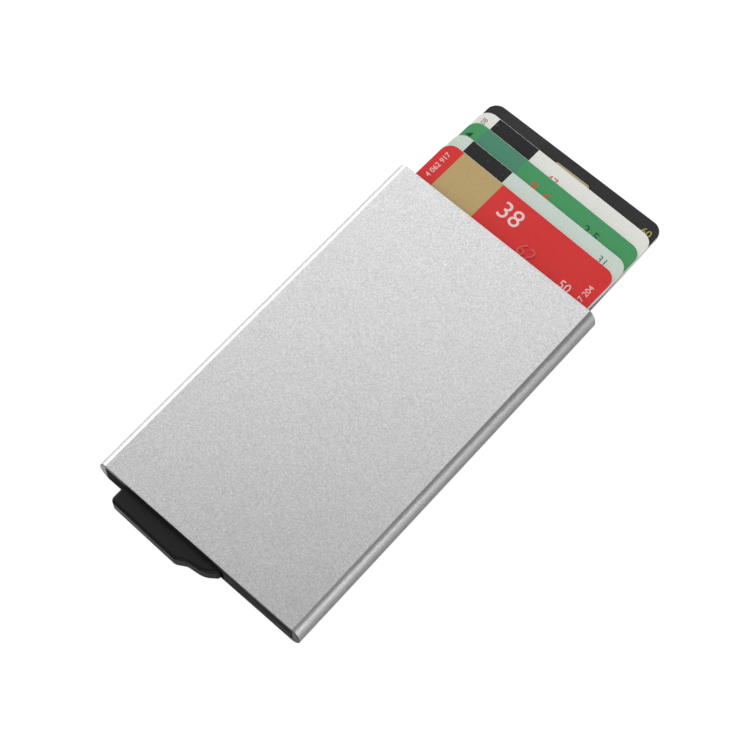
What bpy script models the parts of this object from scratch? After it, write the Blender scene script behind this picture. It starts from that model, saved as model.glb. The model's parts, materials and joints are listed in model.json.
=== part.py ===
"""Slim metal card holder with a push-up lever and five fanned cards.

The holder lies on its back. The origin is the centre of the housing's back face, X runs
across the width, Y towards the mouth where the cards come out, and Z up through the front.
"""

from math import asin, atan2, cos, hypot, pi, radians, sin, tan

import bmesh
import bpy
from mathutils import Matrix

for old in list(bpy.data.objects):
    bpy.data.objects.remove(old)

# Cards: the standard card, how far past its arm the lever throws it, and how far each one
# stands back from the card behind it
CARD_LENGTH = 0.0856
CARD_WIDTH = 0.05398
CARD_THICKNESS = 0.00076
CARD_CORNER_RADIUS = 0.00318
CARD_GAP = 0.00044
CARD_TURN_LIMIT = radians(1.2)
CARD_SIDE_PLAY = 0.00005
CARD_INSET = 0.001
CARD_THROW = 0.001
RED_STEP = 0.0046
MINT_STEP = 0.0056
GREEN_STEP = 0.0047
WHITE_STEP = 0.0041

# From the front: name, step back, turn in the card's plane, colour, roughness, and the share
# of its free play that the card lies to the right
CARDS = (
    ("card_red", RED_STEP, radians(-1.2), (215, 58, 60), 0.35, 0),
    ("card_mint", MINT_STEP, radians(-1.1), (205, 220, 210), 0.40, 0),
    ("card_green", GREEN_STEP, radians(-1.2), (72, 155, 98), 0.38, -1),
    ("card_white", WHITE_STEP, radians(-0.8), (226, 227, 221), 0.40, 0),
    ("card_black", 0, radians(0.2), (50, 50, 52), 0.45, 0.7),
)

# Gaps between pieces: moving or resting, bonded in place, and a pin in its bore
CLEARANCE = 0.0003
BOND_GAP = 0.0002
PIN_CLEARANCE = 0.0001

# Housing: one aluminium extrusion with flat faces and bulging solid sides
FACE_WALL = 0.001
SIDE_BULGE = 0.0022
STACK_PLAY = 0.00047
END_CHAMFER = 0.0002
MOUTH_CHAMFER = 0.0003
POCKET_CORNER_RADIUS = 0.0005

# Friction strips: felt along both inner sides, which holds the cards by their edges
STRIP_THICKNESS = 0.00036
STRIP_EDGE = 0.0001
STRIP_MOUTH_INSET = 0.001

# Pivot pin and the torsion spring wound round it
PIN_RADIUS = 0.001
PIN_CHAMFER = 0.00015
SLEEVE_WALL = 0.0004
SPRING_PLAY = 0.0004
SPRING_WIRE_RADIUS = 0.00019
SPRING_TURNS = 2.6
SPRING_START_ANGLE = radians(70)
SPRING_LEG_LENGTH = 0.0055
SPRING_BEND_RADIUS = 0.0005

# Lever: the trigger that sticks out of the slot, and one arm for each card
HUB_WALL = 0.0006
HUB_FLOOR = 0.0009
ARM_TIP_RADIUS = 0.001
ARM_ROOT_RELIEF = 0.0001
ARM_OVERLAP = 0.0001
ARM_LEG_GAP = 0.00202
ARM_CARD_GAP = 0.00107
ARM_REST_ANGLE = radians(12.5)
ARM_PUSHED_ANGLE = radians(62.0)
TRIGGER_LEFT_INSET = 0.008
TRIGGER_REACH = 0.00465
TRIGGER_SLOPE = radians(-1.1)
TRIGGER_STEP_LENGTH = 0.0025
TRIGGER_STEP_DROP = 0.0015
TRIGGER_BLADE_LENGTH = 0.0045
TRIGGER_BLADE_DROP = 0.0006
TRIGGER_NOSE_LENGTH = 0.0027
TRIGGER_NOSE_DROP = 0.0021
TRIGGER_WEB_HEIGHT = 0.0051
TRIGGER_CORNER_RADIUS = 0.0013
TRIGGER_STEP_RADIUS = 0.0022
TRIGGER_BLADE_RADIUS = 0.006
TRIGGER_END_RADIUS = 0.0004
TRIGGER_EDGE = 0.0004
CORE_WALL = 0.0012
CORE_RADIUS = 0.0006
CORE_START_HEIGHT = 0.0013

# End cap: the moulded plug in the bottom end, with the slot and the fork of the lever
CAP_PROUD = 0.00015
CAP_DEPTH = 0.0017
CAP_EDGE = 0.00025
CAP_LEG_LENGTH = 0.0071
CAP_LEG_WIDTH = 0.0022
CAP_SIDE_WALL = 0.0011
CAP_RELIEF = 0.0001
CAP_FLOOR = 0.0015
CAP_CORNER_RADIUS = 0.0003
SLOT_WEB = 0.00045
EAR_THICKNESS = 0.0009
EAR_LIP = 0.0002
EAR_SHOULDER = 0.0015

# Facets
SIDE_STEPS = 12
FILLET_STEPS = 5
ROUND_STEPS = 32
WIRE_STEPS = 12
OVERRUN = 0.001

# Thickness, from the stack of cards
CARD_PITCH = CARD_THICKNESS + CARD_GAP
STACK_HEIGHT = (len(CARDS) - 1) * CARD_PITCH + CARD_THICKNESS
POCKET_LOW = FACE_WALL
POCKET_HIGH = POCKET_LOW + STACK_HEIGHT + 2 * STACK_PLAY
HOUSING_THICKNESS = POCKET_HIGH + FACE_WALL
MID_Z = HOUSING_THICKNESS / 2
CAP_LOW = POCKET_LOW + BOND_GAP
CAP_HIGH = POCKET_HIGH - BOND_GAP
SLOT_LOW = CAP_LOW + SLOT_WEB
SLOT_HIGH = CAP_HIGH - SLOT_WEB
TRIGGER_LOW = SLOT_LOW + CLEARANCE
TRIGGER_HIGH = SLOT_HIGH - CLEARANCE
HUB_LOW = CAP_LOW + EAR_THICKNESS + CLEARANCE
HUB_HIGH = CAP_HIGH - EAR_THICKNESS - CLEARANCE
SPRING_FLOOR = HUB_LOW + HUB_FLOOR + CLEARANCE + SPRING_WIRE_RADIUS
SPRING_RISE = HUB_HIGH - SPRING_WIRE_RADIUS - SPRING_FLOOR

# Width, from the cards between the strips
SWEEP_HALF_WIDTH = CARD_WIDTH / 2 + sin(CARD_TURN_LIMIT) * CARD_LENGTH / 2 + CARD_SIDE_PLAY
STRIP_INSIDE_X = SWEEP_HALF_WIDTH + CLEARANCE
CAP_HALF_WIDTH = STRIP_INSIDE_X + STRIP_THICKNESS
POCKET_HALF_WIDTH = CAP_HALF_WIDTH + BOND_GAP
HOUSING_WIDTH = 2 * (POCKET_HALF_WIDTH + SIDE_BULGE)
BORE_RADIUS = PIN_RADIUS + PIN_CLEARANCE
SLEEVE_RADIUS = BORE_RADIUS + SLEEVE_WALL
SPRING_COIL_RADIUS = SLEEVE_RADIUS + SPRING_PLAY + SPRING_WIRE_RADIUS
SPRING_ROOM_RADIUS = SPRING_COIL_RADIUS + SPRING_WIRE_RADIUS + CLEARANCE
HUB_RADIUS = SPRING_ROOM_RADIUS + HUB_WALL
ARM_ROOT_RADIUS = HUB_RADIUS - ARM_ROOT_RELIEF
EAR_RADIUS = HUB_RADIUS + EAR_LIP
PIVOT_X = -(CAP_HALF_WIDTH - CAP_SIDE_WALL - CLEARANCE - HUB_RADIUS)
TRIGGER_LEFT = -HOUSING_WIDTH / 2 + TRIGGER_LEFT_INSET

# Length, from the longest arm below the cards when they are in
LAST_ARM_RIGHT = CAP_HALF_WIDTH - CAP_LEG_WIDTH - ARM_LEG_GAP
LAST_ARM_LENGTH = (LAST_ARM_RIGHT - ARM_TIP_RADIUS - PIVOT_X) / cos(ARM_REST_ANGLE)
ARM_TOP_AT_REST = LAST_ARM_LENGTH * sin(ARM_REST_ANGLE) + ARM_TIP_RADIUS
PIVOT_DEPTH = CAP_FLOOR + CLEARANCE + HUB_RADIUS - CAP_PROUD
HOUSING_LENGTH = PIVOT_DEPTH + ARM_TOP_AT_REST + ARM_CARD_GAP + CARD_LENGTH + CARD_INSET
HALF_LENGTH = HOUSING_LENGTH / 2
CAP_OUTSIDE_Y = -HALF_LENGTH - CAP_PROUD
CAP_INSIDE_Y = CAP_OUTSIDE_Y + CAP_DEPTH
CAP_LEG_TOP_Y = CAP_INSIDE_Y + CAP_LEG_LENGTH
PIVOT_Y = -HALF_LENGTH + PIVOT_DEPTH


def linear(channel):
    """Turn one 0-255 display value into the linear value that a material takes."""
    share = channel / 255
    return share / 12.92 if share <= 0.04045 else ((share + 0.055) / 1.055) ** 2.4


def material(name, colour, roughness, metallic=0.0):
    """Make a Principled material from a display colour."""
    result = bpy.data.materials.new(name)
    result.use_nodes = True
    shader = result.node_tree.nodes["Principled BSDF"]
    shader.inputs["Base Color"].default_value = (*(linear(c) for c in colour), 1)
    shader.inputs["Roughness"].default_value = roughness
    shader.inputs["Metallic"].default_value = metallic
    return result


def new_object(name, mesh):
    """Link a mesh to the scene as an object."""
    result = bpy.data.objects.new(name, mesh)
    bpy.context.collection.objects.link(result)
    return result


def mesh_object(name, bm):
    """Close a bmesh into an object, with its faces pointing outwards."""
    bmesh.ops.recalc_face_normals(bm, faces=bm.faces)
    mesh = bpy.data.meshes.new(name)
    bm.to_mesh(mesh)
    bm.free()
    return new_object(name, mesh)


def rounded_outline(corners, steps=FILLET_STEPS):
    """Turn (x, y, radius) corners into points, with an arc in each corner that has a radius."""
    points = []
    for index, (x, y, radius) in enumerate(corners):
        if radius == 0:
            points.append((x, y))
            continue
        before_x, before_y, _ = corners[index - 1]
        after_x, after_y, _ = corners[(index + 1) % len(corners)]
        into = atan2(y - before_y, x - before_x)
        out = atan2(after_y - y, after_x - x)
        turn = (out - into + pi) % (2 * pi) - pi
        side = 1 if turn > 0 else -1
        setback = radius * abs(tan(turn / 2))
        centre_x = x - setback * cos(into) - side * radius * sin(into)
        centre_y = y - setback * sin(into) + side * radius * cos(into)
        for step in range(steps + 1):
            angle = into - side * pi / 2 + turn * step / steps
            points.append((centre_x + radius * cos(angle), centre_y + radius * sin(angle)))
    return points


def plate(name, outline, low, high):
    """Extrude an outline in the XY plane from one height to another."""
    bm = bmesh.new()
    face = bm.faces.new([bm.verts.new((x, y, low)) for x, y in outline])
    grown = bmesh.ops.extrude_face_region(bm, geom=[face])
    top = [item for item in grown["geom"] if isinstance(item, bmesh.types.BMVert)]
    bmesh.ops.translate(bm, verts=top, vec=(0, 0, high - low))
    return mesh_object(name, bm)


def block(name, low, high, corner_radius=0):
    """Make a box between two corners, with its four upright edges rounded."""
    corners = (
        (low[0], low[1], corner_radius),
        (high[0], low[1], corner_radius),
        (high[0], high[1], corner_radius),
        (low[0], high[1], corner_radius),
    )
    return plate(name, rounded_outline(corners), low[2], high[2])


def disc(name, x, y, radius, low, high, steps=ROUND_STEPS):
    """Make an upright cylinder."""
    turns = [2 * pi * step / steps for step in range(steps)]
    return plate(name, [(x + radius * cos(a), y + radius * sin(a)) for a in turns], low, high)


def bake_modifiers(target):
    """Replace an object's mesh by what its modifiers make of it."""
    depsgraph = bpy.context.evaluated_depsgraph_get()
    target.data = bpy.data.meshes.new_from_object(target.evaluated_get(depsgraph))
    target.modifiers.clear()


def combine(target, tool, operation):
    """Join a tool to a target, or cut it out of it, and remove the tool."""
    modifier = target.modifiers.new(operation, "BOOLEAN")
    modifier.operation = operation
    modifier.solver = "EXACT"
    modifier.object = tool
    bake_modifiers(target)
    bpy.data.objects.remove(tool)


def bevel(target, width, segments=2):
    """Round an object's right-angled edges."""
    modifier = target.modifiers.new("edge", "BEVEL")
    modifier.width = width
    modifier.segments = segments
    modifier.limit_method = "ANGLE"
    modifier.angle_limit = radians(40)
    bake_modifiers(target)


def finish(target, slot, parent=None):
    """Shade a piece smooth between its creases, and give it its material and parent."""
    target.data.materials.clear()
    target.data.materials.append(slot)
    target.data.shade_smooth()
    target.data.set_sharp_from_angle(angle=radians(20))
    target.parent = parent
    return target


def side_section(inset):
    """Outline of the extrusion's outside in X and Z: flat faces and a shallow arc each side."""
    half_height = MID_Z - inset
    radius = (half_height ** 2 + SIDE_BULGE ** 2) / (2 * SIDE_BULGE)
    spread = asin(half_height / radius)
    centre_x = HOUSING_WIDTH / 2 - inset - radius
    turns = [spread * (2 * step / SIDE_STEPS - 1) for step in range(SIDE_STEPS + 1)]
    right = [(centre_x + radius * cos(a), MID_Z + radius * sin(a)) for a in turns]
    return right + [(-x, z) for x, z in reversed(right)]


def pocket_section(half_width, low, high, radius):
    """Outline of the pocket in X and Z, with as many points as the outside has."""
    middle = (low + high) / 2
    corners = (
        (half_width, low, radius),
        (half_width, middle, 0),
        (half_width, high, radius),
        (-half_width, high, radius),
        (-half_width, middle, 0),
        (-half_width, low, radius),
    )
    return rounded_outline(corners, SIDE_STEPS // 2 - 1)


def loft(bm, rings, ring_closed):
    """Skin a row of rings, each an (y, section) pair, and close it round or cap its ends."""
    rows = [[bm.verts.new((x, y, z)) for x, z in section] for y, section in rings]
    pairs = list(zip(rows, rows[1:]))
    if ring_closed:
        pairs.append((rows[-1], rows[0]))
    else:
        bm.faces.new(rows[0])
        bm.faces.new(rows[-1])
    for row, other in pairs:
        for index in range(len(row)):
            after = (index + 1) % len(row)
            bm.faces.new((row[index], row[after], other[after], other[index]))


def make_housing():
    """The extruded sleeve, open at both ends."""
    bore = pocket_section(POCKET_HALF_WIDTH, POCKET_LOW, POCKET_HIGH, POCKET_CORNER_RADIUS)
    mouth = pocket_section(
        POCKET_HALF_WIDTH + MOUTH_CHAMFER,
        POCKET_LOW - MOUTH_CHAMFER,
        POCKET_HIGH + MOUTH_CHAMFER,
        POCKET_CORNER_RADIUS,
    )
    rings = (
        (-HALF_LENGTH, side_section(END_CHAMFER)),
        (-HALF_LENGTH + END_CHAMFER, side_section(0)),
        (HALF_LENGTH - END_CHAMFER, side_section(0)),
        (HALF_LENGTH, side_section(END_CHAMFER)),
        (HALF_LENGTH, mouth),
        (HALF_LENGTH - MOUTH_CHAMFER, bore),
        (-HALF_LENGTH, bore),
    )
    bm = bmesh.new()
    loft(bm, rings, True)
    return mesh_object("housing", bm)


def pad_length(left, pad_y):
    """Length of the trigger's flat pad that leaves the web its height at the outer end."""
    swing = ARM_PUSHED_ANGLE - ARM_REST_ANGLE
    run = left + TRIGGER_STEP_LENGTH + TRIGGER_BLADE_LENGTH + TRIGGER_NOSE_LENGTH
    drop = TRIGGER_STEP_DROP + TRIGGER_BLADE_DROP + TRIGGER_NOSE_DROP
    rise = pad_y + drop + TRIGGER_WEB_HEIGHT
    room = arm_length(0) * sin(ARM_PUSHED_ANGLE) - run * sin(swing) - rise * cos(swing)
    return room / (sin(swing) + sin(TRIGGER_SLOPE) * cos(swing))


def trigger_outside():
    """Corners of the part of the trigger that a thumb meets, from its left end to its nose."""
    left = TRIGGER_LEFT - PIVOT_X
    pad_y = -HALF_LENGTH - TRIGGER_REACH - PIVOT_Y
    length = pad_length(left, pad_y)
    step_x = left + length
    step_y = pad_y + length * sin(TRIGGER_SLOPE)
    blade_x = step_x + TRIGGER_STEP_LENGTH
    blade_y = step_y + TRIGGER_STEP_DROP
    nose_x = blade_x + TRIGGER_BLADE_LENGTH
    nose_y = blade_y + TRIGGER_BLADE_DROP
    return [
        (left, pad_y, TRIGGER_CORNER_RADIUS),
        (step_x, step_y, TRIGGER_STEP_RADIUS),
        (blade_x, blade_y, TRIGGER_STEP_RADIUS),
        (nose_x, nose_y, TRIGGER_BLADE_RADIUS),
        (nose_x + TRIGGER_NOSE_LENGTH, nose_y + TRIGGER_NOSE_DROP, TRIGGER_END_RADIUS),
    ]


def pushed_edge(x):
    """Top of the web at x, sloped to lie along the first card's edge when pushed in."""
    swing = ARM_PUSHED_ANGLE - ARM_REST_ANGLE
    return (arm_length(0) * sin(ARM_PUSHED_ANGLE) - x * sin(swing)) / cos(swing)


def trigger_corners():
    """Corners of the trigger and its web, from the pivot round the outside to the first arm."""
    outside = trigger_outside()
    left = outside[0][0]
    end_x = outside[-1][0]
    tip_x = arm_length(0) * cos(ARM_REST_ANGLE)
    tip_y = arm_length(0) * sin(ARM_REST_ANGLE)
    web = [(end_x, pushed_edge(end_x), 0), (tip_x, tip_y, 0)]
    return [(0, 0, 0), (left, 0, 0)] + outside + web


def slot_right():
    """Right end of the slot: just past the circle that the trigger's far corner sweeps."""
    end_x, end_y, _ = trigger_outside()[-1]
    return PIVOT_X + hypot(end_x, end_y) + CLEARANCE


def card_slant(index):
    """How much lower than its middle a card's bottom edge reaches, because the card is turned."""
    turn = CARDS[index][2]
    return abs(sin(turn)) * CARD_WIDTH / 2


def card_bottom(index):
    """Lowest point of a card's bottom edge at rest, thrown a little past its pushed arm."""
    arm_top = PIVOT_Y + LAST_ARM_LENGTH * sin(ARM_PUSHED_ANGLE) + ARM_TIP_RADIUS
    last_middle = arm_top + CARD_THROW + card_slant(-1)
    steps_back = sum(step for _, step, *_ in CARDS[index:])
    return last_middle - steps_back - card_slant(index)


def arm_length(index):
    """Length of an arm that stops just short of its card when the lever is pushed in."""
    rise = card_bottom(index) - CARD_THROW - ARM_TIP_RADIUS - PIVOT_Y
    return rise / sin(ARM_PUSHED_ANGLE)


def arm_outline(length):
    """Outline of one arm at rest: round the hub, out along both flanks and round the tip."""
    taper = asin((ARM_ROOT_RADIUS - ARM_TIP_RADIUS) / length)
    tip_x = length * cos(ARM_REST_ANGLE)
    tip_y = length * sin(ARM_REST_ANGLE)
    points = []
    for step in range(FILLET_STEPS + 1):
        swing = (step / FILLET_STEPS * 2 - 1) * (pi / 2 - taper)
        angle = ARM_REST_ANGLE + swing
        points.append((tip_x + ARM_TIP_RADIUS * cos(angle), tip_y + ARM_TIP_RADIUS * sin(angle)))
    for step in range(ROUND_STEPS // 2 + 1):
        swing = step / (ROUND_STEPS // 2) * (pi + 2 * taper) + pi / 2 - taper
        angle = ARM_REST_ANGLE + swing
        points.append((ARM_ROOT_RADIUS * cos(angle), ARM_ROOT_RADIUS * sin(angle)))
    return points


def card_height(index):
    """Height of the middle of a card in the stack, the first card at the front."""
    return MID_Z + ((len(CARDS) - 1) / 2 - index) * CARD_PITCH


def core_outlines():
    """Two hollows in the back of the trigger's web, under the arms, with a rib between them."""
    swing = ARM_PUSHED_ANGLE - ARM_REST_ANGLE
    flank = ARM_REST_ANGLE + asin((ARM_ROOT_RADIUS - ARM_TIP_RADIUS) / LAST_ARM_LENGTH)
    flank_drop = ARM_ROOT_RADIUS / cos(flank)
    peak = (pushed_edge(0) + flank_drop) / (tan(flank) + tan(swing))
    low = CAP_INSIDE_Y + CLEARANCE - PIVOT_Y
    right = trigger_outside()[-1][0] - CORE_WALL
    left = (low + CORE_START_HEIGHT + CORE_WALL + flank_drop) / tan(flank)
    middle = (left + right) / 2
    spans = ((left, middle - CORE_WALL / 2), (middle + CORE_WALL / 2, right))
    outlines = []
    for start, stop in spans:
        across = [stop, peak, start] if start < peak < stop else [stop, start]
        corners = [(start, low, CORE_RADIUS), (stop, low, CORE_RADIUS)]
        for x in across:
            top = min(x * tan(flank) - flank_drop, pushed_edge(x)) - CORE_WALL
            corners.append((x, top, CORE_RADIUS))
        outlines.append(rounded_outline(corners))
    return outlines


def make_lever():
    """The moulded lever: trigger, hub and one arm for each card, stepped like a stair."""
    lever = plate("lever", rounded_outline(trigger_corners()), TRIGGER_LOW, TRIGGER_HIGH)
    bevel(lever, TRIGGER_EDGE)
    hub = disc("hub", 0, 0, HUB_RADIUS, HUB_LOW - CLEARANCE, HUB_HIGH + CLEARANCE)
    combine(lever, hub, "UNION")
    for index in range(len(CARDS)):
        low = card_height(index) - CARD_PITCH / 2 - ARM_OVERLAP
        high = card_height(index) + CARD_PITCH / 2
        if index == 0:
            high = POCKET_HIGH - CLEARANCE
        if index == len(CARDS) - 1:
            low = POCKET_LOW + CLEARANCE
        arm = plate("arm", arm_outline(arm_length(index)), low, high)
        combine(lever, arm, "UNION")
    cuts = [plate("core", outline, 0, TRIGGER_HIGH - CORE_WALL) for outline in core_outlines()]
    cuts += (
        disc("front_ear_room", 0, 0, EAR_RADIUS + CLEARANCE, HUB_HIGH, HOUSING_THICKNESS),
        disc("back_ear_room", 0, 0, EAR_RADIUS + CLEARANCE, 0, HUB_LOW),
        spring_pocket(),
        spring_groove(),
        disc("bore", 0, 0, BORE_RADIUS, 0, HOUSING_THICKNESS),
    )
    for cut in cuts:
        combine(lever, cut, "DIFFERENCE")
    lever.location = (PIVOT_X, PIVOT_Y, 0)
    return lever


def spring_pocket():
    """Ring-shaped room for the coil, round the sleeve of the lever's bore."""
    low = HUB_LOW + HUB_FLOOR
    ring = disc("spring_pocket", 0, 0, SPRING_ROOM_RADIUS, low, HOUSING_THICKNESS)
    sleeve = disc("sleeve", 0, 0, SLEEVE_RADIUS, 0, HUB_HIGH)
    combine(ring, sleeve, "DIFFERENCE")
    return ring


def spring_groove():
    """Groove for the leg of the spring that pushes the lever."""
    half = SPRING_WIRE_RADIUS + CLEARANCE
    groove = block(
        "spring_groove",
        (SPRING_COIL_RADIUS - half, 0, HUB_LOW + HUB_FLOOR),
        (SPRING_COIL_RADIUS + half, SPRING_LEG_LENGTH + CLEARANCE, HOUSING_THICKNESS),
    )
    turn = Matrix.Rotation(SPRING_START_ANGLE, 4, "Z")
    groove.data.transform(turn @ Matrix.Scale(-1, 4, (0, 1, 0)))
    groove.data.flip_normals()
    return groove


def make_spring():
    """The torsion spring: one leg along the lever, the coil, and one leg up into the ear."""
    radius = SPRING_COIL_RADIUS
    start = SPRING_START_ANGLE
    points = [
        (
            radius * cos(start) + SPRING_LEG_LENGTH * sin(start),
            radius * sin(start) - SPRING_LEG_LENGTH * cos(start),
            SPRING_FLOOR,
        )
    ]
    steps = round(SPRING_TURNS * WIRE_STEPS)
    for step in range(steps + 1):
        angle = start + 2 * pi * SPRING_TURNS * step / steps
        height = SPRING_FLOOR + SPRING_RISE * step / steps
        points.append((radius * cos(angle), radius * sin(angle), height))
    end_angle = start + 2 * pi * SPRING_TURNS
    end_height = SPRING_FLOOR + SPRING_RISE
    for step in range(1, FILLET_STEPS + 1):
        bend = pi / 2 * step / FILLET_STEPS
        angle = end_angle + SPRING_BEND_RADIUS * sin(bend) / radius
        height = end_height + SPRING_BEND_RADIUS * (1 - cos(bend))
        points.append((radius * cos(angle), radius * sin(angle), height))
    points.append((points[-1][0], points[-1][1], CAP_HIGH - BOND_GAP))
    curve = bpy.data.curves.new("return_spring", "CURVE")
    curve.dimensions = "3D"
    curve.bevel_depth = SPRING_WIRE_RADIUS
    curve.bevel_resolution = 2
    curve.use_fill_caps = True
    spline = curve.splines.new("POLY")
    spline.points.add(len(points) - 1)
    for point, place in zip(spline.points, points):
        point.co = (*place, 1)
    spring = new_object("return_spring", curve)
    spring.location = (PIVOT_X, PIVOT_Y, 0)
    return spring


def spring_hole():
    """Hole in the front ear for the upright leg of the spring."""
    angle = SPRING_START_ANGLE + 2 * pi * SPRING_TURNS + SPRING_BEND_RADIUS / SPRING_COIL_RADIUS
    x = PIVOT_X + SPRING_COIL_RADIUS * cos(angle)
    y = PIVOT_Y + SPRING_COIL_RADIUS * sin(angle)
    radius = SPRING_WIRE_RADIUS + BOND_GAP
    return disc("spring_hole", x, y, radius, MID_Z, HOUSING_THICKNESS, WIRE_STEPS)


def tower_outline():
    """Plan of the cap's left end: side wall, shoulder, and the ears round the pivot."""
    left = -CAP_HALF_WIDTH + CAP_RELIEF
    base = CAP_INSIDE_Y - CAP_DEPTH / 2
    shoulder = asin(EAR_SHOULDER / EAR_RADIUS)
    points = [(left, CAP_LEG_TOP_Y), (left, base), (PIVOT_X, base)]
    for step in range(ROUND_STEPS + 1):
        angle = -pi / 2 + (3 * pi / 2 - shoulder) * step / ROUND_STEPS
        points.append((PIVOT_X + EAR_RADIUS * cos(angle), PIVOT_Y + EAR_RADIUS * sin(angle)))
    inner = -CAP_HALF_WIDTH + CAP_SIDE_WALL - CAP_RELIEF
    return points + [(inner, PIVOT_Y + EAR_SHOULDER), (inner, CAP_LEG_TOP_Y)]


def make_end_cap():
    """The moulded plug: a bar with the trigger's slot, a leg, and the fork of the pivot."""
    radius = CAP_CORNER_RADIUS
    face = pocket_section(
        CAP_HALF_WIDTH - CAP_EDGE, CAP_LOW + CAP_EDGE, CAP_HIGH - CAP_EDGE, radius
    )
    collar = pocket_section(CAP_HALF_WIDTH, CAP_LOW, CAP_HIGH, radius)
    rings = (
        (CAP_OUTSIDE_Y, face),
        (CAP_OUTSIDE_Y + CAP_EDGE, collar),
        (CAP_INSIDE_Y, collar),
    )
    bm = bmesh.new()
    loft(bm, rings, False)
    cap = mesh_object("end_cap", bm)
    low = CAP_LOW + CAP_RELIEF
    high = CAP_HIGH - CAP_RELIEF
    leg = block(
        "leg",
        (CAP_HALF_WIDTH - CAP_LEG_WIDTH, CAP_INSIDE_Y - CAP_DEPTH / 2, low),
        (CAP_HALF_WIDTH - CAP_RELIEF, CAP_LEG_TOP_Y, high),
        CAP_CORNER_RADIUS,
    )
    combine(cap, leg, "UNION")
    combine(cap, plate("tower", tower_outline(), low, high), "UNION")
    room_left = PIVOT_X - HUB_RADIUS - CLEARANCE
    room_low = PIVOT_Y - HUB_RADIUS - CLEARANCE
    room_right = PIVOT_X + EAR_RADIUS + OVERRUN
    room_high = PIVOT_Y + EAR_RADIUS + OVERRUN
    room = (
        (room_left, room_low, HUB_RADIUS + CLEARANCE),
        (room_right, room_low, 0),
        (room_right, room_high, 0),
        (room_left, room_high, 0),
    )
    fork = rounded_outline(room, ROUND_STEPS // 4)
    slot = block(
        "slot",
        (TRIGGER_LEFT - CLEARANCE, CAP_OUTSIDE_Y - OVERRUN, SLOT_LOW),
        (slot_right(), CAP_INSIDE_Y + BOND_GAP, SLOT_HIGH),
    )
    cuts = (
        plate("fork", fork, HUB_LOW - CLEARANCE, HUB_HIGH + CLEARANCE),
        slot,
        disc("pin_bore", PIVOT_X, PIVOT_Y, BORE_RADIUS, 0, HOUSING_THICKNESS),
        spring_hole(),
    )
    for cut in cuts:
        combine(cap, cut, "DIFFERENCE")
    return cap


def make_pin():
    """The steel pin that the lever turns on."""
    low = CAP_LOW + BOND_GAP
    high = CAP_HIGH - BOND_GAP
    pin = disc("pivot_pin", 0, 0, PIN_RADIUS, low, high)
    bevel(pin, PIN_CHAMFER, 1)
    pin.location = (PIVOT_X, PIVOT_Y, 0)
    return pin


def make_strip(name, side):
    """One felt strip, bonded to the inner side of the housing."""
    strip = block(
        name,
        (STRIP_INSIDE_X, CAP_LEG_TOP_Y + CLEARANCE, POCKET_LOW + CLEARANCE),
        (CAP_HALF_WIDTH, HALF_LENGTH - STRIP_MOUTH_INSET, POCKET_HIGH - CLEARANCE),
    )
    bevel(strip, STRIP_EDGE)
    if side < 0:
        strip.data.transform(Matrix.Scale(-1, 4, (1, 0, 0)))
        strip.data.flip_normals()
    return strip


def make_card(index, name, turn, side_share):
    """One card, at its place in the stack between the strips."""
    half_width = CARD_WIDTH / 2
    half_length = CARD_LENGTH / 2
    half_thickness = CARD_THICKNESS / 2
    low = (-half_width, -half_length, -half_thickness)
    high = (half_width, half_length, half_thickness)
    card = block(name, low, high, CARD_CORNER_RADIUS)
    play = SWEEP_HALF_WIDTH - half_width * cos(turn) - half_length * abs(sin(turn))
    middle_y = card_bottom(index) + card_slant(index) + half_length * cos(turn)
    card.location = (play * side_share, middle_y, card_height(index))
    card.rotation_euler = (0, 0, turn)
    return card


aluminium = material("anodised_aluminium", (200, 201, 203), 0.42, 1.0)
black_plastic = material("black_plastic", (42, 42, 43), 0.45)
steel = material("spring_steel", (170, 172, 175), 0.3, 1.0)
felt = material("grey_felt", (60, 60, 62), 0.95)

housing = finish(make_housing(), aluminium)
end_cap = finish(make_end_cap(), black_plastic, housing)
finish(make_lever(), black_plastic, housing)
finish(make_pin(), steel, housing)
finish(make_strip("friction_strip_left", -1), felt, housing)
finish(make_strip("friction_strip_right", 1), felt, housing)
spring = make_spring()
spring.data.materials.append(steel)
spring.parent = housing
for place, (name, _, turn, colour, roughness, side_share) in enumerate(CARDS):
    card = make_card(place, name, turn, side_share)
    finish(card, material(name + "_plastic", colour, roughness), housing)
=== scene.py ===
import json
from math import atan2, cos, pi, radians, sin, tan

import bmesh
import bpy
from mathutils import Matrix, Vector


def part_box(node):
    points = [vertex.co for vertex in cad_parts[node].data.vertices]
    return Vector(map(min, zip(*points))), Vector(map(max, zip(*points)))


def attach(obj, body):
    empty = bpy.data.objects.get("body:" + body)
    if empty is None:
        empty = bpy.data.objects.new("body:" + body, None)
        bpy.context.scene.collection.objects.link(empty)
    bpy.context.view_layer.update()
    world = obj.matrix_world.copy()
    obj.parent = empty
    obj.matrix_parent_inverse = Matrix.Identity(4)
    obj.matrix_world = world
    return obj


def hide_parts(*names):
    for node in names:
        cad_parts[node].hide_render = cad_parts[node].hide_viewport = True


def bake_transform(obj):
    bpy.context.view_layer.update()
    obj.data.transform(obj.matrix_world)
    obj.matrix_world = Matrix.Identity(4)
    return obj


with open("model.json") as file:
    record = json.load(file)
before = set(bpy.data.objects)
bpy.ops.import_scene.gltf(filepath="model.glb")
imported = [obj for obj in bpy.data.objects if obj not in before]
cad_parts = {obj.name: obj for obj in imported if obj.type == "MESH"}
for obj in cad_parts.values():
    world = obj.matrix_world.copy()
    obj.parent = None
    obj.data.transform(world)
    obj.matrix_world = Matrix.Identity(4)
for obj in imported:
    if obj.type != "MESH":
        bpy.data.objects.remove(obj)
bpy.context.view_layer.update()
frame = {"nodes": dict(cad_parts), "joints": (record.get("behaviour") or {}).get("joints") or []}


# Housing: one piece of aluminium extrusion with flat faces and solid bulging sides, sawn to
# length, its ends chamfered, then bead-blasted and clear anodised to a fine matt grain.
housing_low, housing_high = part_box("housing")
strip_outside_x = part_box("friction_strip_right")[1].x
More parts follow.
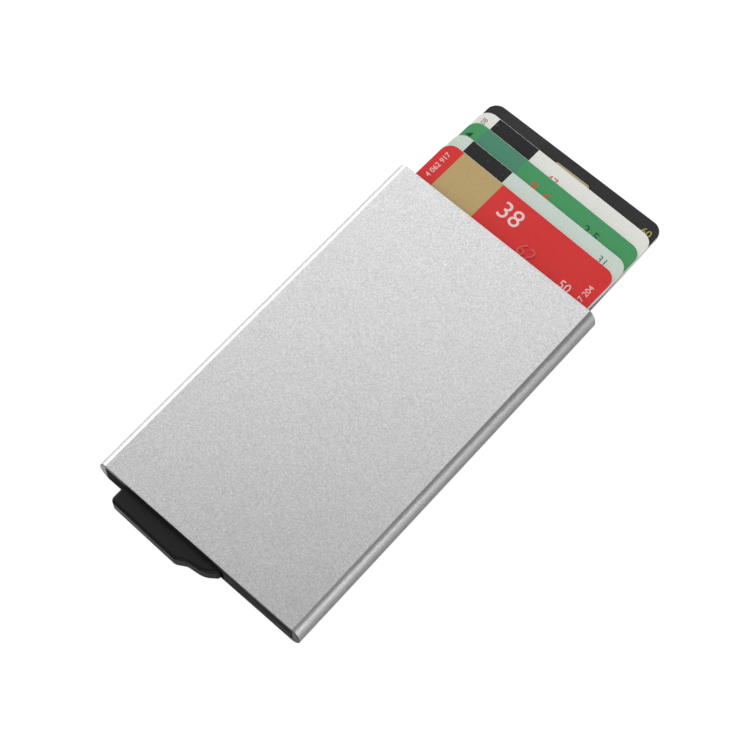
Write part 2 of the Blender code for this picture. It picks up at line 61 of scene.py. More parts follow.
FACE_WALL = 0.001
BOND_GAP = 0.0002
SLEEVE_SIZES = {
    "Length": housing_high.y - housing_low.y,
    "Width": housing_high.x - housing_low.x,
    "Thickness": housing_high.z,
    "Bulge": 0.0022,
    "Pocket Width": 2 * (strip_outside_x + BOND_GAP),
    "Pocket Height": housing_high.z - 2 * FACE_WALL,
    "Pocket Corner": 0.0005,
    "End Chamfer": 0.0002,
    "Mouth Chamfer": 0.0003,
    "Crease Radius": 0.00008,
}
SIDE_SWEEP = radians(68)
SIDE_START = SLEEVE_SIZES["Width"] / 2 - SLEEVE_SIZES["Bulge"]
END_ANGLE, CREASE_ANGLE = radians(60), radians(25)
# how far along Y a face looks where it is a sawn end, darkened as painted shade, and where it is
# the rim of a side, painted near black as shade
SAWN_SHADED_LOWER, SAWN_SHADED_MOUTH = -0.5, 0.98
SHADED_RIM_START, SHADED_RIM_END = -0.95, -0.25
WELD = 1e-6


def put(tree, kind, sockets=None, **settings):
    """Add a node to a tree, set it up, and link or fill its sockets."""
    node = tree.nodes.new(kind)
    for key, value in settings.items():
        setattr(node, key, value)
    for key, value in (sockets or {}).items():
        for item in value if isinstance(value, list) else [value]:
            if isinstance(item, bpy.types.NodeSocket):
                tree.links.new(item, node.inputs[key])
            else:
                node.inputs[key].default_value = item
    return node


def sums(tree, operation, first, second=0.0):
    """Work on one number in a tree, or combine two."""
    return put(tree, "ShaderNodeMath", {0: first, 1: second}, operation=operation).outputs[0]


def half(tree, value):
    """Half of a number in a tree."""
    return sums(tree, "MULTIPLY", value, 0.5)


def point(tree, x=0.0, y=0.0, z=0.0):
    """Make a vector in a tree."""
    return put(tree, "ShaderNodeCombineXYZ", {0: x, 1: y, 2: z}).outputs[0]


def moved(tree, geometry, place, turn=(0, 0, 0), scale=(1, 1, 1)):
    """Scale, turn and move a shape in a tree."""
    return put(
        tree,
        "GeometryNodeTransform",
        {"Geometry": geometry, "Translation": place, "Rotation": turn, "Scale": scale},
    ).outputs[0]


def joined(tree, shapes):
    """Put shapes together in a tree."""
    return put(tree, "GeometryNodeJoinGeometry", {0: shapes}).outputs[0]


def start_tree(name, sizes):
    """Start a Geometry Nodes tree with one named input for each size."""
    tree = bpy.data.node_groups.new(name, "GeometryNodeTree")
    tree.interface.new_socket("Mesh", in_out="OUTPUT", socket_type="NodeSocketGeometry")
    for label in sizes:
        tree.interface.new_socket(label, in_out="INPUT", socket_type="NodeSocketFloat")
    tree.interface.new_socket("Finish", in_out="INPUT", socket_type="NodeSocketMaterial")
    return tree, tree.nodes.new("NodeGroupInput").outputs


def end_tree(tree, mesh, given):
    """End a tree with real geometry, smooth shading and its finish."""
    real = put(tree, "GeometryNodeRealizeInstances", {0: mesh}).outputs[0]
    smooth = put(tree, "GeometryNodeSetShadeSmooth", {0: real}).outputs[0]
    dressed = put(tree, "GeometryNodeSetMaterial", {0: smooth, "Material": given["Finish"]})
    put(tree, "NodeGroupOutput", {0: dressed.outputs[0]})


def slab(tree, outline, height):
    """Fill a closed outline and extrude it upwards into a closed solid."""
    face = put(tree, "GeometryNodeFillCurve", {0: outline}, mode="NGONS").outputs[0]
    raised = put(
        tree,
        "GeometryNodeExtrudeMesh",
        {"Mesh": face, "Offset Scale": height, "Individual": False},
        mode="FACES",
    ).outputs[0]
    under = put(tree, "GeometryNodeFlipFaces", {0: face}).outputs[0]
    both = joined(tree, [raised, under])
    return put(tree, "GeometryNodeMergeByDistance", {0: both, "Distance": WELD}).outputs[0]


def rounded_rectangle(tree, width, height, radius, count):
    """Outline of a rectangle with round corners about the origin."""
    sides = put(
        tree, "GeometryNodeCurvePrimitiveQuadrilateral", {"Width": width, "Height": height}
    )
    return put(
        tree,
        "GeometryNodeFilletCurve",
        {"Curve": sides.outputs[0], "Radius": radius, "Count": count},
        mode="POLY",
    ).outputs[0]


def add_object(name, data):
    """Put a mesh, a curve, a lamp or a camera into the scene as an object."""
    added = bpy.data.objects.new(name, data)
    bpy.context.scene.collection.objects.link(added)
    return added


def grow(name, tree, sizes, finish):
    """Make an object that runs a tree with its named sizes."""
    piece = add_object(name, bpy.data.meshes.new(name))
    modifier = piece.modifiers.new("shape", "NODES")
    modifier.node_group = tree
    for socket in tree.interface.items_tree:
        if socket.in_out == "INPUT":
            modifier[socket.identifier] = sizes.get(socket.name, finish)
    return piece


def as_mesh(source):
    """A plain mesh of what an object and its modifiers show."""
    depsgraph = bpy.context.evaluated_depsgraph_get()
    return bpy.data.meshes.new_from_object(source.evaluated_get(depsgraph))


def settle(piece, place=None):
    """Turn what an object's modifiers make into its plain mesh, put at its place."""
    mesh = as_mesh(piece)
    piece.modifiers.clear()
    piece.data = mesh
    mesh.name = piece.name
    if mesh.materials and mesh.materials[0] is None:
        mesh.materials.pop(index=0)
    if place is not None:
        mesh.transform(place)
    return piece


def soften(piece, width, segments=3, angle=None):
    """Round an object's edges, by their bevel weights or by their angle."""
    modifier = piece.modifiers.new("edges", "BEVEL")
    modifier.width = width
    modifier.segments = segments
    modifier.limit_method = "WEIGHT" if angle is None else "ANGLE"
    if angle is not None:
        modifier.angle_limit = angle
    modifier.harden_normals = True
    return piece


def refinish(piece, finish, chosen):
    """Give another finish to the faces that a test chooses."""
    piece.data.materials.append(finish)
    for polygon in piece.data.polygons:
        if chosen(polygon):
            polygon.material_index = len(piece.data.materials) - 1


def new_finish(name, colour, roughness, metallic=0.0):
    """Start a finish: a Principled material, with its tree and shader."""
    finish = bpy.data.materials.new(name)
    finish.use_nodes = True
    tree = finish.node_tree
    shader = tree.nodes["Principled BSDF"]
    shader.inputs["Base Color"].default_value = (*colour, 1)
    shader.inputs["Roughness"].default_value = roughness
    shader.inputs["Metallic"].default_value = metallic
    return finish, tree, shader


def object_place(tree):
    """The object's own coordinates, for a pattern that is fixed in the piece."""
    return put(tree, "ShaderNodeTexCoord").outputs["Object"]


def speckle(tree, place, scale, detail=2.0):
    """A fine noise, about 0.5, of so many grains a metre."""
    noise = put(
        tree, "ShaderNodeTexNoise", {"Vector": place, "Scale": scale, "Detail": detail}
    )
    return noise.outputs["Fac"]


def spread(tree, value, low, high, to_low=0.0, to_high=1.0):
    """Map a range of values to another one."""
    return put(
        tree, "ShaderNodeMapRange", {0: value, 1: low, 2: high, 3: to_low, 4: to_high}
    ).outputs[0]


def from_noise(tree, noise, low=0.0, high=1.0):
    """Map a noise, which lies mostly between 0.3 and 0.7, to a range."""
    return spread(tree, noise, 0.3, 0.7, low, high)


def mixed(tree, share, first, second):
    """Mix two colours of a finish, each a plain colour or a socket."""
    colours = [
        colour if isinstance(colour, bpy.types.NodeSocket) else (*colour, 1)
        for colour in (first, second)
    ]
    return put(tree, "ShaderNodeMixRGB", {0: share, 1: colours[0], 2: colours[1]}).outputs[0]


def tint(tree, shader, share, first, second):
    """Colour a surface between two colours."""
    tree.links.new(mixed(tree, share, first, second), shader.inputs["Base Color"])


def vary_roughness(tree, shader, noise, low, high):
    """Let a surface's roughness follow a noise."""
    tree.links.new(from_noise(tree, noise, low, high), shader.inputs["Roughness"])


def relief(tree, shader, height, depth, strength):
    """Raise a surface by a height pattern of so many metres."""
    bump = put(
        tree, "ShaderNodeBump", {"Height": height, "Distance": depth, "Strength": strength}
    )
    tree.links.new(bump.outputs[0], shader.inputs["Normal"])


def blasted_aluminium(name, dark, light, roughness):
    """Fine bead-blasted grain between two greys, with faint clouds and small dimples."""
    finish, tree, shader = new_finish(name, (light, light, light), roughness, 1.0)
    place = object_place(tree)
    grain = spread(tree, speckle(tree, place, 11000.0, 1.0), 0.37, 0.63)
    cloud = speckle(tree, place, 420.0, 3.0)
    cloud_share = 0.06
    tone = sums(
        tree,
        "ADD",
        sums(tree, "MULTIPLY", grain, 1 - cloud_share),
        sums(tree, "MULTIPLY", cloud, cloud_share),
    )
    cool = 1.006
    tint(tree, shader, tone, (dark, dark, dark * cool), (light, light, light * cool))
    vary_roughness(tree, shader, cloud, roughness - 0.02, roughness + 0.02)
    dimples = put(tree, "ShaderNodeTexVoronoi", {"Vector": place, "Scale": 9000.0})
    relief(tree, shader, dimples.outputs["Distance"], 0.00002, 0.35)
    return finish


def side_curve(tree, given, half_width, half_height):
    """The right side's outline, from the back face to the front: part of an ellipse."""
    arc = put(
        tree,
        "GeometryNodeCurveArc",
        {
            "Resolution": 45,
            "Radius": 1.0,
            "Start Angle": -SIDE_SWEEP,
            "Sweep Angle": 2 * SIDE_SWEEP,
        },
        mode="RADIUS",
    ).outputs[0]
    reach = sums(tree, "DIVIDE", given["Bulge"], 1 - cos(SIDE_SWEEP))
    rise = sums(tree, "DIVIDE", half_height, sin(SIDE_SWEEP))
    middle = point(tree, sums(tree, "SUBTRACT", half_width, reach), half_height)
    return moved(tree, arc, middle, scale=point(tree, reach, rise, 1.0))


def within(tree, value, width):
    """Whether a distance from the middle lies inside a width, or on its border."""
    border = sums(tree, "ADD", half(tree, width), 10 * WELD)
    return sums(tree, "LESS_THAN", sums(tree, "ABSOLUTE", value), border)


def edge_weights(tree, given, half_height):
    """Each edge's share of the widest chamfer: at the mouth, at the other ends, at a crease."""
    angle = put(tree, "GeometryNodeInputMeshEdgeAngle").outputs[0]
    position = put(tree, "GeometryNodeInputPosition").outputs[0]
    x, y, z = put(tree, "ShaderNodeSeparateXYZ", {0: position}).outputs
    end_edges = sums(tree, "GREATER_THAN", angle, END_ANGLE)
    creases = sums(tree, "GREATER_THAN", angle, CREASE_ANGLE)
    in_pocket = sums(
        tree,
        "MULTIPLY",
        within(tree, x, given["Pocket Width"]),
        within(tree, sums(tree, "SUBTRACT", z, half_height), given["Pocket Height"]),
    )
    mouth = sums(tree, "MULTIPLY", in_pocket, sums(tree, "GREATER_THAN", y, 0.0))
    end_share = sums(tree, "DIVIDE", given["End Chamfer"], given["Mouth Chamfer"])
    crease_share = sums(tree, "DIVIDE", given["Crease Radius"], given["Mouth Chamfer"])
    at_end = put(tree, "ShaderNodeMix", {0: mouth, 2: end_share, 3: 1.0}).outputs[0]
    along = sums(tree, "MULTIPLY", creases, crease_share)
    return put(tree, "ShaderNodeMix", {0: end_edges, 2: along, 3: at_end}).outputs[0]


def sleeve_tree():
    """Section of the extrusion, drawn out along its length, with its edges weighted."""
    tree, given = start_tree("extruded_sleeve", SLEEVE_SIZES)
    half_width = half(tree, given["Width"])
    half_height = half(tree, given["Thickness"])
    right = side_curve(tree, given, half_width, half_height)
    left = moved(tree, right, point(tree, 0.0, given["Thickness"]), turn=(0, 0, pi))
    sides = joined(tree, [right, left])
    dots = put(tree, "GeometryNodeCurveToPoints", {0: sides}, mode="EVALUATED").outputs[0]
    loop = put(tree, "GeometryNodePointsToCurves", {0: dots}).outputs[0]
    outside = put(tree, "GeometryNodeSetSplineCyclic", {0: loop, "Cyclic": True}).outputs[0]
    pocket = rounded_rectangle(
        tree, given["Pocket Width"], given["Pocket Height"], given["Pocket Corner"], count=6
    )
    section = joined(tree, [outside, moved(tree, pocket, point(tree, 0.0, half_height))])
    bar = slab(tree, section, given["Length"])
    laid = moved(tree, bar, point(tree, 0.0, half(tree, given["Length"])), turn=(pi / 2, 0, 0))
    weighted = put(
        tree,
        "GeometryNodeStoreNamedAttribute",
        {
            "Geometry": laid,
            "Name": "bevel_weight_edge",
            "Value": edge_weights(tree, given, half_height),
        },
        data_type="FLOAT",
        domain="EDGE",
    ).outputs[0]
    end_tree(tree, weighted, given)
    return tree


def is_sawn_and_shaded(face):
    """Whether a face of the sleeve belongs to one of its sawn ends, which take a smoother finish
    of their own in greys darkened as painted shade.
    """
    return face.normal.y < SAWN_SHADED_LOWER or face.normal.y > SAWN_SHADED_MOUTH


def is_shaded_rim(face):
    """Whether a face of the sleeve belongs to the rim of a bulging side's lower end, which is
    painted near black as shade.
    """
    return abs(face.center.x) > SIDE_START and SHADED_RIM_START < face.normal.y < SHADED_RIM_END


blasted = blasted_aluminium("blasted_aluminium", dark=0.33, light=0.83, roughness=0.38)
# the sawn ends: a smoother sawn finish of their own, in greys darkened as painted shade
sawn_and_shaded = blasted_aluminium("sawn_and_shaded_aluminium", dark=0.15, light=0.3, roughness=0.27)
# painted shade: the rims of the bulging sides' lower ends, in near-black aluminium
rim_shade = blasted_aluminium("rim_painted_shade", dark=0.05, light=0.1, roughness=0.2)
sleeve = grow("sleeve", sleeve_tree(), SLEEVE_SIZES, blasted)
settle(soften(sleeve, SLEEVE_SIZES["Mouth Chamfer"]))
# painted shade: the sawn ends take their darker greys
refinish(sleeve, sawn_and_shaded, is_sawn_and_shaded)
# painted shade: the rims take their near-black grey
refinish(sleeve, rim_shade, is_shaded_rim)
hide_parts("housing")
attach(sleeve, "housing")


# Felt strips: flocked tape bonded along both inner sides of the housing, from the end cap's leg
# to just short of the mouth. They hold the cards by their edges.
def flocked_felt():
    """Short grey nap, matt and a little uneven."""
    finish, tree, shader = new_finish("flocked_felt", (0.045, 0.045, 0.048), 0.95)
    nap = speckle(tree, object_place(tree), 6000.0, 3.0)
    tint(tree, shader, from_noise(tree, nap), (0.028, 0.028, 0.03), (0.07, 0.07, 0.075))
    relief(tree, shader, nap, 0.0001, 0.9)
    shader.inputs["Sheen Weight"].default_value = 0.3
    return finish


def merged_copy(node, name, crease):
    """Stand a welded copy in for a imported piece, smooth up to a crease of so many degrees."""
    mesh = frame["nodes"][node].data.copy()
    mesh.name = name
    bm = bmesh.new()
    bm.from_mesh(mesh)
    bmesh.ops.remove_doubles(bm, verts=bm.verts, dist=WELD)
    bm.to_mesh(mesh)
    bm.free()
    mesh.shade_smooth()
    mesh.set_sharp_from_angle(angle=radians(crease))
    piece = add_object(name, mesh)
    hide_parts(node)
    return piece


def dress(piece, finish):
    """Give a piece its one finish."""
    piece.data.materials.clear()
    piece.data.materials.append(finish)


felt = flocked_felt()
for side in ("left", "right"):
    strip = merged_copy("friction_strip_" + side, "felt_strip_" + side, crease=50)
    dress(strip, felt)
    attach(strip, "housing")


# End cap: one moulding in black plastic, pushed into the lower end of the housing, with the slot
# that the trigger comes out of and the fork that carries the lever's pin. Beside the slot, on the
# pin's side, its end is made rough and without gloss, which paints shade there.
SLOT_START = -0.0225
CAP_END_FACING = -0.5


def moulded_black(name, grain_depth, roughness, gloss):
    """Black moulded plastic with a fine texture, as deep, rough and glossy as a face has it."""
    finish, tree, shader = new_finish(name, (0.011, 0.011, 0.0114), roughness)
    shader.inputs["Specular IOR Level"].default_value = gloss
    place = object_place(tree)
    texture = speckle(tree, place, 5200.0, 3.0)
    cloud = speckle(tree, place, 220.0)
    tint(tree, shader, from_noise(tree, texture), (0.008, 0.008, 0.0084), (0.013, 0.013, 0.0134))
    vary_roughness(tree, shader, cloud, roughness - 0.06, roughness + 0.06)
    relief(tree, shader, texture, grain_depth, 0.5)
    return finish


def is_beside_slot(face):
    """Whether a face of the plug belongs to the end beside the slot, made rough and without gloss
    as painted shade.
    """
    return face.normal.y < CAP_END_FACING and face.center.x < SLOT_START


plug = merged_copy("end_cap", "end_plug", crease=35)
dress(plug, moulded_black("moulded_black", grain_depth=0.00002, roughness=0.44, gloss=0.2))
# painted shade: the end beside the slot is black without gloss, so it reads dark
dull_shade_black = moulded_black("painted_shade_black", grain_depth=0.00004, roughness=0.7, gloss=0.02)
refinish(plug, dull_shade_black, is_beside_slot)
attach(plug, "housing")


def ground_steel():
    """Bright steel with fine turning marks."""
    finish, tree, shader = new_finish("ground_steel", (0.42, 0.43, 0.44), 0.28, 1.0)
    marks = speckle(tree, object_place(tree), 9000.0)
    vary_roughness(tree, shader, marks, 0.2, 0.4)
    relief(tree, shader, marks, 0.000005, 0.6)
    return finish


steel = ground_steel()
pin = merged_copy("pivot_pin", "steel_pin", crease=50)
spring = merged_copy("return_spring", "wire_spring", crease=50)
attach(pin, "housing")
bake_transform(spring)
for piece in (pin, spring):
    dress(piece, steel)


# Lever: one black moulding that turns on the pin, with a hub, the trigger that a thumb pushes,
# hollowed from its underside, and a stair of five arms, each as long as its card needs.
pivot = Vector(frame["joints"][0]["pos_m"])
TRIGGER_LOW, TRIGGER_HIGH = 0.00195, 0.00655
TRIGGER_EDGE = 0.0008
UNDERSIDE_SHARE = 0.35
# corners of the trigger and of the two hollows in it, in mm from the pin: x, y, radius
TRIGGER_OUTLINE = (
    (1.02, 0.226, 0.0),
    (1.02, -9.48, 1.3),
    (21.551, -9.874, 2.2),
    (24.051, -8.374, 2.2),
    (28.551, -7.774, 6.0),
    (31.251, -5.674, 0.9),
    (31.251, -0.574, 0.0),
    (25.863, 5.734, 0.0),
)
WEB_HOLLOWS = (
    ((10.138, -2.98, 0.6), (19.494, -2.98, 0.6), (19.494, 0.82, 0.6), (10.138, -1.68, 0.6)),
    (
        (20.694, -2.98, 0.6),
        (30.051, -2.98, 0.6),
        (30.051, -0.37, 0.6),
        (27.262, 2.896, 0.6),
        (20.694, 1.14, 0.6),
    ),
)
TRIGGER_WALL = 0.0012
WEB_ROOF = TRIGGER_HIGH - TRIGGER_WALL
HUB_RADIUS = 0.00318
HUB_LOW, HUB_HIGH = 0.0021, 0.0064
EAR_ROOM_RADIUS = 0.00368
EAR_ROOM_HIGH, EAR_ROOM_LOW = 0.0061, 0.0024
SLEEVE_RADIUS = 0.0015
COIL_ROOM_RADIUS = 0.00258
COIL_ROOM_FLOOR = 0.0033
GROOVE_INSIDE, GROOVE_REACH = 0.0016, 0.0058
GROOVE_TURN = radians(70)
BORE_RADIUS = 0.0011
PAST_FRONT = 0.009
LEVER_CREASE = radians(28)
LEVER_FLAT_FACING = 0.98
ARM_LENGTHS = (0.026491, 0.031754, 0.038043, 0.04358, 0.048543)
ARM_OVERLAP = 0.0001
ROOT_INSET = 0.0001
STAIR_LOW, STAIR_HIGH = 0.0013, 0.0072
CARD_PITCH = 0.0012
MIDDLE_CARD = 2
ARM_SIZES = {
    "Root Radius": HUB_RADIUS - ROOT_INSET,
    "Tip Radius": 0.001,
    "Angle": radians(12.5),
}


def millimetres(corners):
    """Turn a table in millimetres into metres."""
    return [tuple(value / 1000 for value in corner) for corner in corners]


def rounded_outline(corners, steps=14):
    """Turn (x, y, radius) corners into points, with an arc in each corner that has a radius."""
    points = []
    for index, (x, y, radius) in enumerate(corners):
        if radius == 0:
            points.append((x, y))
            continue
        before_x, before_y, _ = corners[index - 1]
        after_x, after_y, _ = corners[(index + 1) % len(corners)]
        into = atan2(y - before_y, x - before_x)
        out = atan2(after_y - y, after_x - x)
        turn = (out - into + pi) % (2 * pi) - pi
        side = 1 if turn > 0 else -1
        setback = radius * abs(tan(turn / 2))
        centre_x = x - setback * cos(into) - side * radius * sin(into)
        centre_y = y - setback * sin(into) + side * radius * cos(into)
        for step in range(steps + 1):
            angle = into - side * pi / 2 + turn * step / steps
            points.append((centre_x + radius * cos(angle), centre_y + radius * sin(angle)))
    return points


def from_bmesh(name, bm):
    """Turn a finished bmesh into an object."""
    mesh = bpy.data.meshes.new(name)
    bm.to_mesh(mesh)
    bm.free()
    return add_object(name, mesh)


def upright(name, outline, low, high):
    """Raise an outline in the XY plane from one height to another, in a fixed order."""
    # an extrude operator would order the faces anew each run, and a cut would then split them anew
    bm = bmesh.new()
    bottom = [bm.verts.new((x, y, low)) for x, y in outline]
    top = [bm.verts.new((x, y, high)) for x, y in outline]
    bm.faces.new(bottom)
    bm.faces.new(top)
    for index in range(len(outline)):
        bm.faces.new((bottom[index - 1], bottom[index], top[index], top[index - 1]))
    bmesh.ops.recalc_face_normals(bm, faces=bm.faces)
    return from_bmesh(name, bm)


def circle(radius, steps=64):
    """Points of a circle about the pivot."""
    turns = [2 * pi * step / steps for step in range(steps)]
    return [(radius * cos(angle), radius * sin(angle)) for angle in turns]


def carve(target, tool, operation="DIFFERENCE"):
    """Cut a tool out of a target, or join it to the target, and remove the tool."""
    modifier = target.modifiers.new(operation, "BOOLEAN")
    modifier.operation = operation
    modifier.solver = "EXACT"
    modifier.object = tool
    settle(target)
    bpy.data.objects.remove(tool)


def arm_tree():
    """One arm of the stair: the hull of a disc at the hub and a smaller one at its tip."""
    labels = {"Length": 0, "Low": 0, "High": 0, **ARM_SIZES}
    tree, given = start_tree("stair_arm", labels)
    height = sums(tree, "SUBTRACT", given["High"], given["Low"])
    middle = half(tree, sums(tree, "ADD", given["High"], given["Low"]))
    along = sums(tree, "MULTIPLY", given["Length"], sums(tree, "COSINE", given["Angle"]))
    across = sums(tree, "MULTIPLY", given["Length"], sums(tree, "SINE", given["Angle"]))
    discs = []
    for radius, x, y in ((given["Root Radius"], 0.0, 0.0), (given["Tip Radius"], along, across)):
        sizes = {"Vertices": 48, "Radius": radius, "Depth": height}
        disc = put(tree, "GeometryNodeMeshCylinder", sizes).outputs[0]
        discs.append(moved(tree, disc, point(tree, x, y, middle)))
    hull = put(tree, "GeometryNodeConvexHull", {0: joined(tree, discs)}).outputs[0]
    end_tree(tree, hull, given)
    return tree


def edge_share(ends):
    """How much of the trigger's edge radius an edge takes, from the heights of its ends."""
    if min(ends) > TRIGGER_HIGH - WELD:
        return 1.0
    return UNDERSIDE_SHARE if max(ends) < TRIGGER_LOW + WELD else 0.0


def is_lever_side(face):
    """Whether a face of the lever stands upright or slopes, and so is smoother than a flat."""
    return abs(face.normal.z) <= LEVER_FLAT_FACING


lever_plastic = moulded_black("lever_black", grain_depth=0.000012, roughness=0.4, gloss=0.21)
smooth_side = moulded_black("lever_side_black", grain_depth=0.000006, roughness=0.3, gloss=0.15)
trigger_corners = rounded_outline(millimetres(TRIGGER_OUTLINE))
trigger = upright("push_lever", trigger_corners, TRIGGER_LOW, TRIGGER_HIGH)
trigger.data.shade_smooth()
weights = trigger.data.attributes.new("bevel_weight_edge", "FLOAT", "EDGE").data
for edge, weight in zip(trigger.data.edges, weights):
    weight.value = edge_share([trigger.data.vertices[end].co.z for end in edge.vertices])
settle(soften(trigger, TRIGGER_EDGE, segments=5))
carve(trigger, upright("hub", circle(HUB_RADIUS), HUB_LOW, HUB_HIGH), "UNION")
arms = arm_tree()
for index, length in enumerate(ARM_LENGTHS):
    last = index == len(ARM_LENGTHS) - 1
    card_height = housing_high.z / 2 + (MIDDLE_CARD - index) * CARD_PITCH
    heights = {
        "Low": STAIR_LOW if last else card_height - CARD_PITCH / 2 - ARM_OVERLAP,
        "High": STAIR_HIGH if index == 0 else card_height + CARD_PITCH / 2,
    }
    arm = grow("arm", arms, {"Length": length, **heights, **ARM_SIZES}, lever_plastic)
    carve(trigger, settle(arm), "UNION")
for hollow in WEB_HOLLOWS:
    hollow_corners = rounded_outline(millimetres(hollow), steps=8)
    carve(trigger, upright("web_hollow", hollow_corners, 0.0, WEB_ROOF))
carve(trigger, upright("front_room", circle(EAR_ROOM_RADIUS), EAR_ROOM_HIGH, PAST_FRONT))
carve(trigger, upright("back_room", circle(EAR_ROOM_RADIUS), 0.0, EAR_ROOM_LOW))
coil_room = upright("ring", circle(COIL_ROOM_RADIUS), COIL_ROOM_FLOOR, PAST_FRONT)
carve(coil_room, upright("sleeve_core", circle(SLEEVE_RADIUS), 0.0, EAR_ROOM_HIGH))
carve(trigger, coil_room)
groove_corners = (
    (GROOVE_INSIDE, -GROOVE_REACH),
    (COIL_ROOM_RADIUS, -GROOVE_REACH),
    (COIL_ROOM_RADIUS, 0.0),
    (GROOVE_INSIDE, 0.0),
)
leg_groove = upright("leg_groove", groove_corners, COIL_ROOM_FLOOR, PAST_FRONT)
leg_groove.data.transform(Matrix.Rotation(GROOVE_TURN, 4, "Z"))
carve(trigger, leg_groove)
carve(trigger, upright("bore", circle(BORE_RADIUS), 0.0, PAST_FRONT))
trigger.data.transform(Matrix.Translation((pivot.x, pivot.y, 0)))
trigger.data.shade_smooth()
trigger.data.set_sharp_from_angle(angle=LEVER_CREASE)
trigger.modifiers.new("flat_faces", "WEIGHTED_NORMAL").keep_sharp = True
settle(trigger)
dress(trigger, lever_plastic)
refinish(trigger, smooth_side, is_lever_side)
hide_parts("lever")
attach(trigger, "lever")


# Cards: five laminated plastic cards of the standard size, each with a white core that shows at
# its edges, printed colour on both faces, a stripe of magnetic or foil tape down one side, and
# plain printed or embossed numbers.
CARD_SIZES = {"Length": 0.0856, "Width": 0.05398, "Thickness": 0.00076, "Corner": 0.00318}
CARD_TOP = CARD_SIZES["Thickness"] / 2
CARD_EDGE = 0.0001
STRIPE_WIDTH = 0.0127
FOIL = 0.00001
EMBOSSING = 0.0002
DIGIT_SHARE = 0.691
CORE_FACING = 0.95


def card_tree():
    """One blank card: a thin slab with round corners, lying flat about the origin."""
    tree, given = start_tree("blank_card", CARD_SIZES)
    outline = rounded_rectangle(
        tree, given["Width"], given["Length"], given["Corner"], count=14
    )
    body = slab(tree, outline, given["Thickness"])
    drop = sums(tree, "MULTIPLY", given["Thickness"], -0.5)
    end_tree(tree, moved(tree, body, point(tree, 0.0, 0.0, drop)), given)
    return tree


def card_print(name, colour, roughness=0.36):
    """Printed and laminated face of a card, with a faint grain and soft handling marks."""
    finish, tree, shader = new_finish(name, colour, roughness)
    shader.inputs["Specular IOR Level"].default_value = 0.22
    place = object_place(tree)
    grain = speckle(tree, place, 2600.0, 3.0)
    marks = speckle(tree, place, 90.0)
    dark = tuple(channel * 0.93 for channel in colour)
    light = tuple(min(1.0, channel * 1.06 + 0.002) for channel in colour)
    tint(tree, shader, from_noise(tree, grain), dark, light)
    vary_roughness(tree, shader, marks, roughness - 0.05, roughness + 0.06)
    relief(tree, shader, grain, 0.000006, 0.4)
    return finish


def coated_tape(name, colour):
    """Coated stripe with a few pale rubbed specks from the reader."""
    finish = card_print(name, colour, 0.34)
    tree = finish.node_tree
    shader = tree.nodes["Principled BSDF"]
    coat = shader.inputs["Base Color"].links[0].from_socket
    rubbed = speckle(tree, object_place(tree), 1100.0, 3.0)
    specks = spread(tree, rubbed, 0.66, 0.74, 0.0, 0.5)
    tint(tree, shader, specks, coat, tuple(channel * 0.6 + 0.09 for channel in colour))
    return finish


def display(red, green, blue):
    """Turn a display colour into the linear one that a finish takes."""
    channels = []
    for channel in (red, green, blue):
        share = channel / 255
        channels.append(share / 12.92 if share <= 0.04045 else ((share + 0.055) / 1.055) ** 2.4)
    return tuple(channels)


def digits(text, left, drop, height, turn, rise):
    """Mesh of plain digits on a card's face, from their lower left corner, in mm and degrees."""
    curve = bpy.data.curves.new("digits", "FONT")
    curve.body = text
    curve.size = height / 1000 / DIGIT_SHARE
    curve.extrude = rise
    curve.resolution_u = 3
    text_object = add_object("digits", curve)
    mesh = as_mesh(text_object)
    bpy.data.objects.remove(text_object)
    corner = (left / 1000, CARD_SIZES["Length"] / 2 - drop / 1000, CARD_TOP)
    mesh.transform(Matrix.Translation(corner) @ Matrix.Rotation(radians(turn), 4, "Z"))
    return mesh


def printed(name, meshes, finish):
    """Join the meshes of one ink into one closed piece."""
    bm = bmesh.new()
    for mesh in meshes:
        bm.from_mesh(mesh)
    bmesh.ops.remove_doubles(bm, verts=bm.verts, dist=WELD / 10)
    bmesh.ops.recalc_face_normals(bm, faces=bm.faces)
    piece = from_bmesh(name, bm)
    dress(piece, finish)
    return piece


def on_card(corners):
    """Turn (x, drop, radius) corners in mm into an outline on a card's face."""
    top = CARD_SIZES["Length"] / 2
    placed = [(x, top - drop, radius) for x, drop, radius in millimetres(corners)]
    return rounded_outline(placed, steps=6)


def stripe_outline(inset):
    """Outline of a stripe along a card, so many mm in from its left edge."""
    left = -CARD_SIZES["Width"] / 2 + inset / 1000
    end = CARD_SIZES["Length"] / 2 - CARD_EDGE
    return ((left, -end), (left + STRIPE_WIDTH, -end), (left + STRIPE_WIDTH, end), (left, end))


def film(name, outline, finish):
    """Lay a thin film of one finish on a card's face."""
    piece = upright(name, outline, CARD_TOP - FOIL, CARD_TOP + FOIL)
    dress(piece, finish)
    return piece


def is_core(face):
    """Whether a face of a card belongs to its edge, where its core shows."""
    return abs(face.normal.z) < CORE_FACING


